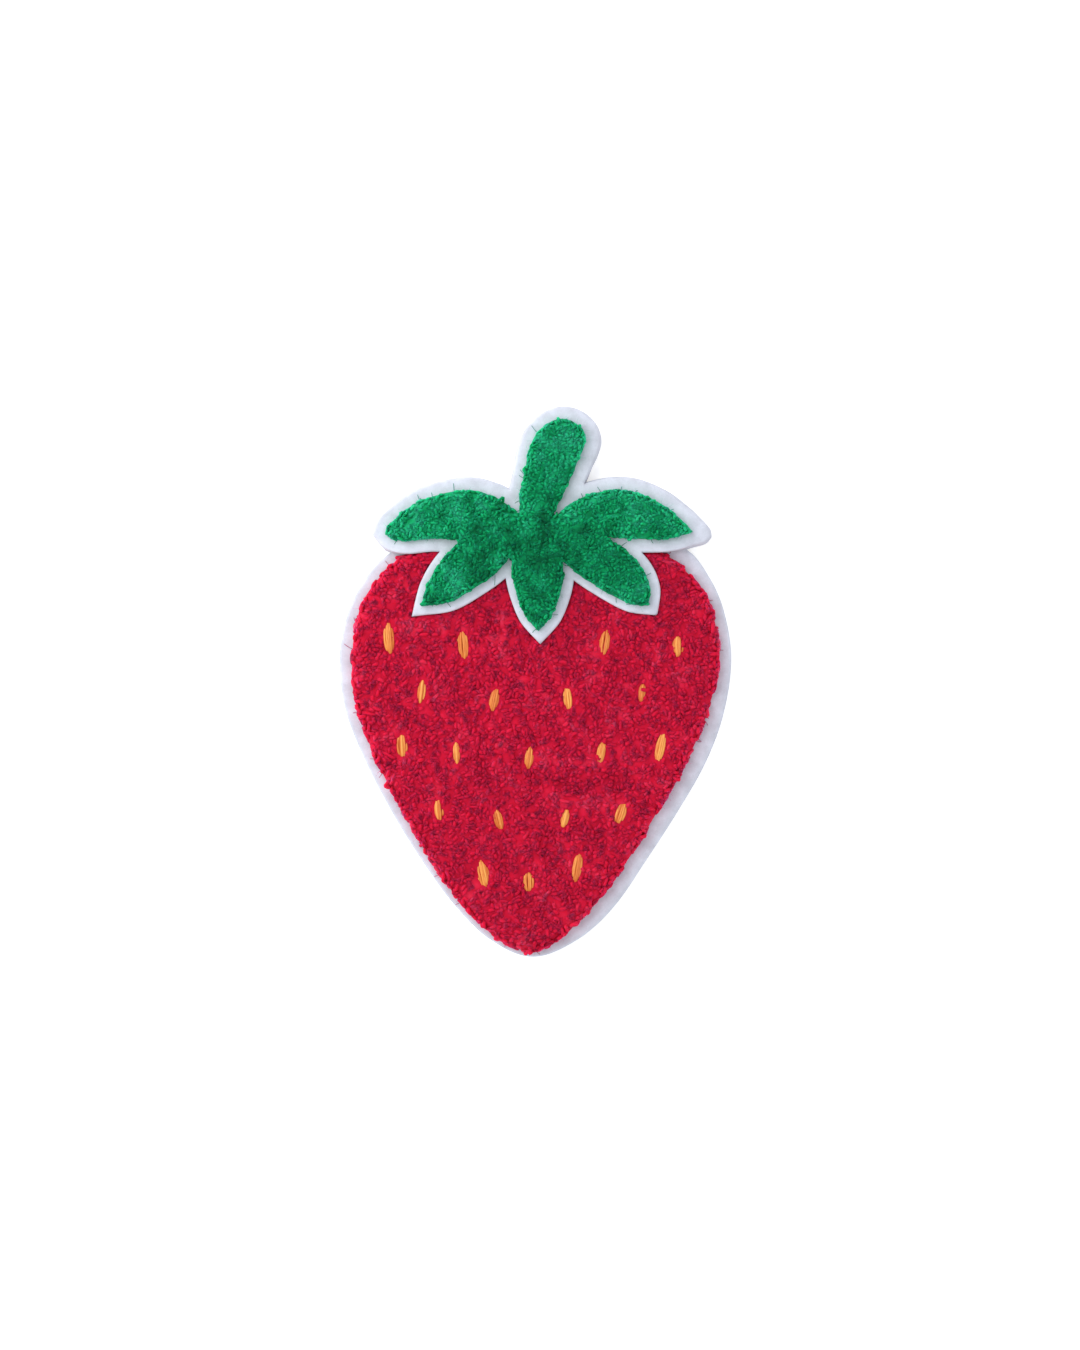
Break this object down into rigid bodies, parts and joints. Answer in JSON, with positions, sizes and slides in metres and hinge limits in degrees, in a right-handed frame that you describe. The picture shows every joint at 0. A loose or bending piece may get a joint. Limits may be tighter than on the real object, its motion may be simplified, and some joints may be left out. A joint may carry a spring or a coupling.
{
  "type": "chenille strawberry patch",
  "caption": "Strawberry-shaped chenille patch: red loop-pile fruit with yellow stitched seeds and a green pile calyx and stem on white felt, with a heat-seal back.",
  "frame": {"origin": "middle of the patch's outline, on its heat-seal back", "axes": "+Z out of the pile face; +Y from the fruit's tip towards the stem; +X to the right as the pile face is seen"},
  "size_m": [0.064, 0.0899, 0.008],
  "materials": {
    "film": "thin satin hot-melt adhesive film, off-white and slightly milky",
    "interlining": "white non-woven interlining, matte",
    "felt": "white polyester felt with a cool lavender tint, matte and slightly fibrous, cut edges",
    "fruit_yarn": "crimson chenille loop pile of soft acrylic yarn, matte",
    "leaf_yarn": "deep green chenille loop pile of soft acrylic yarn, matte",
    "seed_thread": "golden yellow satin-stitched polyester thread, slight sheen along the threads"
  },
  "bodies": {
    "root": {"heat_seal_film": "film", "interlining": "interlining", "base_felt": "felt", "fruit_pile": "fruit_yarn", "seed_01": "seed_thread", "seed_02": "seed_thread", "seed_03": "seed_thread", "seed_04": "seed_thread", "seed_05": "seed_thread", "seed_06": "seed_thread", "seed_07": "seed_thread", "seed_08": "seed_thread", "seed_09": "seed_thread", "seed_10": "seed_thread", "seed_11": "seed_thread", "seed_12": "seed_thread", "seed_13": "seed_thread", "seed_14": "seed_thread", "seed_15": "seed_thread", "seed_16": "seed_thread", "seed_17": "seed_thread", "seed_18": "seed_thread", "seed_19": "seed_thread", "seed_20": "seed_thread", "calyx_bond_film": "film", "calyx_felt": "felt", "stem_pile": "leaf_yarn", "leaf_pile_upper_right": "leaf_yarn", "leaf_pile_lower_right": "leaf_yarn", "leaf_pile_centre": "leaf_yarn", "leaf_pile_lower_left": "leaf_yarn", "leaf_pile_upper_left": "leaf_yarn"}
  },
  "joints": []
}
